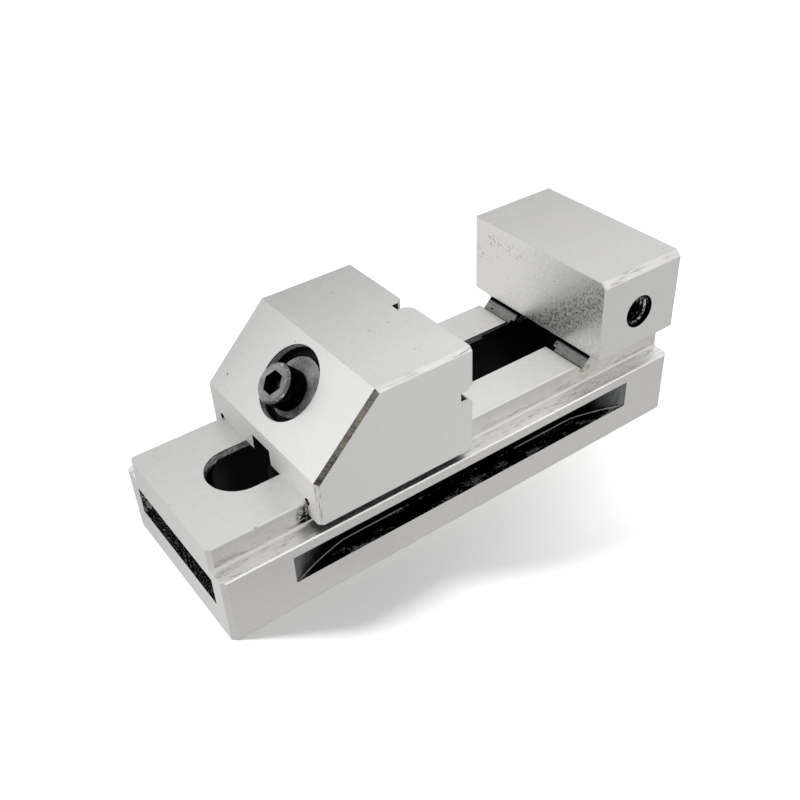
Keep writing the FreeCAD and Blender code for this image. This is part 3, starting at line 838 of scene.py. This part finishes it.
SCREW_PITCH = 1.25
SCREW_THREAD_START = 34.6
SCREW_THREAD_DEPTH = 0.613 * SCREW_PITCH
CREST_HALF = 0.125
FLANK_WIDTH = 0.3125
SCREW_COLUMNS = 4 * KNURL_TEETH
ROWS_IN_PITCH = 10


def about_screw(radius, depth, angle):
    """Places at a radius and angle about the screw's axis, at a depth below the wedge's face."""
    radius, depth, angle = np.broadcast_arrays(radius, depth, angle)
    return (SCREW_ENTRY + depth[..., None] * DOWN_SCREW
            + (radius * np.cos(angle))[..., None] * ACROSS
            + (radius * np.sin(angle))[..., None] * UP_WEDGE)


def cap_screw():
    """The screw as rows of radii about its axis, from the foot of the socket to its tip.

    The socket is a hexagon, radius = half the flats' distance / cos(angle from a flat), with a
    wider mouth. The knurl cuts the rim by a triangle wave of the angle. The thread cuts the
    shank by a trapezoid wave of depth / pitch - angle / one turn, which is constant along a
    right-hand helix.
    """
    angle = np.linspace(0, 2 * np.pi, SCREW_COLUMNS, endpoint=False)
    from_flat = np.mod(angle, np.pi / 3) - np.pi / 6
    hexagon = HEX_ACROSS_FLATS / 2 / np.cos(from_flat)
    tooth = np.abs(np.mod(angle * KNURL_TEETH / (2 * np.pi), 1.0) * 2 - 1)
    knurled = HEAD_RADIUS - KNURL_DEPTH * tooth
    plain = np.ones(SCREW_COLUMNS)
    foot = HEAD_TOP + HEX_DEPTH
    head = [
        # The drill's cone, the socket's floor and wall, and its wider mouth.
        (0.05 * plain, foot + HEX_DRILL_TIP),
        (HEX_ACROSS_FLATS / 2 * plain, foot),
        (hexagon, foot),
        (hexagon, HEAD_TOP + HEX_MOUTH_DEPTH),
        (hexagon * HEX_MOUTH, HEAD_TOP),
        # The head's flat top, its rounded chamfer and the knurled rim.
        ((HEAD_RADIUS - HEAD_CHAMFER - 0.10) * plain, HEAD_TOP),
        ((HEAD_RADIUS - HEAD_CHAMFER + 0.02) * plain, HEAD_TOP + 0.06),
        ((HEAD_RADIUS - 0.34) * plain, HEAD_TOP + HEAD_CHAMFER - 0.30),
        (knurled, HEAD_TOP + HEAD_CHAMFER + 0.10),
        (knurled, HEAD_FOOT - 0.45),
        # The head's rounded foot and the fillet to the shank.
        ((HEAD_RADIUS - 0.30) * plain, HEAD_FOOT - 0.22),
        ((HEAD_RADIUS - 0.42) * plain, HEAD_FOOT),
        ((SHANK_RADIUS + 0.3) * plain, HEAD_FOOT),
        ((SHANK_RADIUS + 0.08) * plain, HEAD_FOOT + 0.12),
        (SHANK_RADIUS * plain, HEAD_FOOT + 0.35)]
    depth = np.arange(SCREW_THREAD_START, SCREW_TIP, SCREW_PITCH / ROWS_IN_PITCH)
    depth = np.append(depth, SCREW_TIP)[:, None]
    wave = np.mod(depth / SCREW_PITCH - angle / (2 * np.pi), 1.0)
    flank = np.clip((np.abs(wave - 0.5) - CREST_HALF) / FLANK_WIDTH, 0, 1)
    start = np.clip((depth - SCREW_THREAD_START) / (1.5 * SCREW_PITCH), 0, 1)
    threaded = SHANK_RADIUS - SCREW_THREAD_DEPTH * (1 - flank) * start
    coned = SHANK_RADIUS - np.maximum(depth - (SCREW_TIP - TIP_CHAMFER), 0)
    threaded = np.minimum(threaded, coned)
    radii = np.vstack([np.stack([r for r, _ in head]), threaded])
    depths = np.vstack([np.stack([d * plain for _, d in head]), depth * plain])
    return about_screw(radii, depths, angle)


# The bath leaves the screw near black. Its top is painted grey, handling wear and a painted
# highlight both, its rim has painted white glints, and its socket's floor is painted grey as
# painted light.
BLACK_OXIDE = blackened_steel(
    "black_oxide_screw_steel", "#040404", "#333333", 0.5, 0.30, 0.45, 0.4)
RUBBED_AND_LIT_OXIDE = blackened_steel(
    "rubbed_and_lit_oxide_screw_head", "#7c7c7c", "#b3b3b2", 0.5, 0.16, 0.36, 0.42)
RIM_GLINTS = blackened_steel(
    "oxide_screw_rim_with_painted_glints", "#6a6a6a", "#ffffff", 0.6, 0.24, 0.36, 0.25)
SOCKET_FLOOR = blackened_steel(
    "socket_floor_with_painted_light", "#232323", "#a8a8a6", 0.9, 0.20, 0.34, 0.4, 0.2)
SOCKET_FLOOR_ROWS = (0, 2)
TOP_RING_ROWS = (4, 5)
RIM_ROWS = (5, 8)
screw_points = cap_screw()
screw_rows = np.zeros(len(screw_points) - 1, np.int32)
for number, (first, last) in enumerate((SOCKET_FLOOR_ROWS, TOP_RING_ROWS, RIM_ROWS), start=1):
    screw_rows[first:last] = number
screw = surface("cap_screw", screw_points, "clamp_screw", "black_oxide_steel", BLACK_OXIDE,
                SOCKET_FLOOR, RUBBED_AND_LIT_OXIDE, RIM_GLINTS, finish_of_row=screw_rows)
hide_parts("clamp_screw")

# The ball washer, turned from bar: flat above, spherical below, so that the screw finds its line.
# Its rim is seen off the screw's axis, as it has slid up the wedge on its seat.
WASHER_RADIUS = 9.8
WASHER_SLIP = np.array([-0.6, 1.7])
WASHER_BORE = 4.4
WASHER_EDGE = 0.25
WASHER_RIM_DEPTH = 3.2
WASHER_BALL_REACH = 8.4
WASHER_RIM_ROWS = slice(2, 5)
SEAT_RADIUS = 7.5
BALL_RADIUS = 14.0
BALL_CENTRE = COUNTERBORE_DEPTH - math.sqrt(BALL_RADIUS ** 2 - SEAT_RADIUS ** 2)


def turned_washer():
    """A ring: each row is a circle, at the radii and depths of the washer's section.

    The ball's depth at a radius r is its middle's depth + sqrt(R^2 - r^2). The rim's rows are
    moved by the slip, and the ball's rows stay about the screw.
    """
    arc = np.linspace(WASHER_BALL_REACH, WASHER_BORE, 16)
    ball = BALL_CENTRE + np.sqrt(BALL_RADIUS ** 2 - arc ** 2)
    radii = np.concatenate([
        [WASHER_BORE, WASHER_BORE + WASHER_EDGE, WASHER_RADIUS - WASHER_EDGE, WASHER_RADIUS,
         WASHER_RADIUS], arc])
    depths = np.concatenate([
        [HEAD_FOOT + WASHER_EDGE, HEAD_FOOT, HEAD_FOOT, HEAD_FOOT + WASHER_EDGE,
         WASHER_RIM_DEPTH], ball])
    slip = np.zeros((len(radii), 1, 3))
    slip[WASHER_RIM_ROWS, 0] = WASHER_SLIP[0] * ACROSS + WASHER_SLIP[1] * UP_WEDGE
    angle = np.linspace(0, 2 * np.pi, 96, endpoint=False)
    return about_screw(radii[:, None], depths[:, None], angle[None, :]) + slip


# The washer's top is a plain dull grey, and the rest of it is as black as the screw.
WASHER_TOP = blackened_steel(
    "grey_oxide_washer_top", "#454545", "#8e8e8d", 0.7, 0.16, 0.36, 0.5, 0.2)
WASHER_TOP_ROW = 1
washer_points = turned_washer()
washer_rows = np.zeros(len(washer_points), np.int32)
washer_rows[WASHER_TOP_ROW] = 1
washer = surface(
    "turned_ball_washer", washer_points, "ball_washer", "black_oxide_steel", BLACK_OXIDE,
    WASHER_TOP, ring=True, finish_of_row=washer_rows)
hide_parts("ball_washer")

# The cross nut: a turned pin with a tapped cross hole, lying in its pocket under the rail.
dressed("cross_nut", "turned_cross_nut", "cross_nut", (BLACK_OXIDE,),
        lambda centre, normal: np.zeros(len(centre), np.int32))

# The stage: a pale floor, a white background and soft studio light from the upper left. Metal
# sees the floor as one plain tone, and the sky a little brighter than it lights. A sun's energy
# is in W per square metre, and another lamp's in W.
HALF_FLOOR = 3.0
FLOOR_WHITE = "#eeeeee"
FLOOR_IN_REFLECTIONS = "#dadada"
SKY_STRENGTH = 0.66
SKY_MORE_IN_REFLECTIONS = 0.10
KEY_DIRECTION = (-0.35, 0.45, 0.82)
KEY_ENERGY = 2.3
KEY_ANGLE = math.radians(26)

corners = [(x * HALF_FLOOR, y * HALF_FLOOR, 0) for x, y in ((-1, -1), (1, -1), (1, 1), (-1, 1))]
floor_mesh = bpy.data.meshes.new("studio_floor")
floor_mesh.from_pydata(corners, [], [(0, 1, 2, 3)])
floor = bpy.data.objects.new("studio_floor", floor_mesh)
bpy.context.scene.collection.objects.link(floor)

floor_paint = bpy.data.materials.new("matt_white_floor_paint")
floor_paint.use_nodes = True
tree = floor_paint.node_tree
tree.nodes.clear()
matt = add(tree, "BsdfDiffuse", {"Color": FLOOR_WHITE})
plain = add(tree, "Emission", {"Color": FLOOR_IN_REFLECTIONS})
reflected = add(tree, "LightPath", out="Is Glossy Ray")
add(tree, "OutputMaterial", {"Surface": add(tree, "MixShader", (reflected, matt, plain))})
floor_mesh.materials.append(floor_paint)

world = bpy.data.worlds.new("studio_air")
world.use_nodes = True
tree = world.node_tree
tree.nodes.clear()
reflected = add(tree, "LightPath", out="Is Glossy Ray")
mirrored = add(tree, "Math", (reflected, SKY_MORE_IN_REFLECTIONS, SKY_STRENGTH),
               operation="MULTIPLY_ADD")
strength = add(tree, "Math", (reflected.node.outputs["Is Camera Ray"], mirrored),
               operation="MAXIMUM")
add(tree, "OutputWorld",
    {"Surface": add(tree, "Background", {"Color": "#ffffff", "Strength": strength})})
bpy.context.scene.world = world


def lamp(name, kind, energy, way, distance=0.0, **settings):
    """A lamp a way off from the vise's middle, in metres, turned to shine back at it."""
    data = bpy.data.lights.new(name, kind)
    data.energy = energy
    for setting, value in settings.items():
        setattr(data, setting, value)
    made = bpy.data.objects.new(name, data)
    bpy.context.scene.collection.objects.link(made)
    way = Vector(way).normalized()
    turn = way.to_track_quat("Z", "Y").to_matrix().to_4x4()
    made.matrix_world = Matrix.Translation(way * distance) @ turn
    return made


key = lamp("key_light", "SUN", KEY_ENERGY, KEY_DIRECTION, angle=KEY_ANGLE)
key.visible_glossy = False

# The floor has a sun and a low fill lamp of its own. The fill washes out the shadow beside the
# fixed jaw, and leaves it beside the rear half.
FLOOR_SUN_DIRECTION = (-0.71, 0.50, 0.49)
FLOOR_SUN_ENERGY = 5.0
FLOOR_SUN_ANGLE = math.radians(14)
FLOOR_FILL_PLACE = (0.13, -0.085, 0.09)
FLOOR_FILL_ENERGY = 0.20
FLOOR_FILL_SIZE = 0.08
floor_sun = lamp(
    "floor_sun", "SUN", FLOOR_SUN_ENERGY, FLOOR_SUN_DIRECTION, angle=FLOOR_SUN_ANGLE)
floor_sun.visible_glossy = False
fill = lamp("floor_fill", "AREA", FLOOR_FILL_ENERGY, (0, 0, 1), size=FLOOR_FILL_SIZE)
fill.matrix_world = Matrix.Translation(FLOOR_FILL_PLACE)
fill.visible_glossy = False
fill.visible_camera = False

on_floor = bpy.data.collections.new("lit_on_floor")
on_floor.objects.link(floor)
on_vise = bpy.data.collections.new("lit_on_vise")
for lit in bpy.context.scene.objects:
    if lit.type == "MESH" and lit != floor:
        on_vise.objects.link(lit)
floor_sun.light_linking.receiver_collection = on_floor
fill.light_linking.receiver_collection = on_floor
key.light_linking.receiver_collection = on_vise

# Three square soft boxes, seen by the vise only as reflections: direction, distance, size, power.
SOFT_BOXES = {
    "slope_soft_box": ((-0.72, 0.60, 0.42), 0.6, 0.40, 0.16),
    "front_soft_box": ((0.45, -0.60, 0.66), 0.7, 0.40, 0.26),
    "top_soft_box": ((0.62, 0.50, 0.62), 0.7, 0.35, 0.05)}
for name, (way, distance, size, watts) in SOFT_BOXES.items():
    lamp(name, "AREA", watts, way, distance, size=size).visible_diffuse = False

# The camera stands at the photograph's angle, seen from the rear left and above.
CAMERA_PLACE = np.array([-63.03, -213.64, 221.67])
CAMERA_TURN = math.radians(-34.304)
CAMERA_LIFT = math.radians(36.786)
CAMERA_ROLL = math.radians(-3.017)
CAMERA_LENS = 44.78
camera_data = bpy.data.cameras.new("camera")
camera_data.sensor_width = 36.0
camera_data.lens = CAMERA_LENS
camera_data.clip_start = 0.01
camera = bpy.data.objects.new("camera", camera_data)
bpy.context.scene.collection.objects.link(camera)
back = Vector((math.sin(CAMERA_TURN) * math.cos(CAMERA_LIFT),
               -math.cos(CAMERA_TURN) * math.cos(CAMERA_LIFT), math.sin(CAMERA_LIFT)))
right = Vector((0, 0, 1)).cross(back).normalized()
up = back.cross(right)
c, s = math.cos(CAMERA_ROLL), math.sin(CAMERA_ROLL)
turn = Matrix((right * c + up * s, up * c - right * s, back)).transposed().to_4x4()
camera.matrix_world = Matrix.Translation((CAMERA_PLACE + [REAR_END, 0, 0]) * MM) @ turn
bpy.context.scene.camera = camera

view = bpy.context.scene.view_settings
view.view_transform = "Standard"
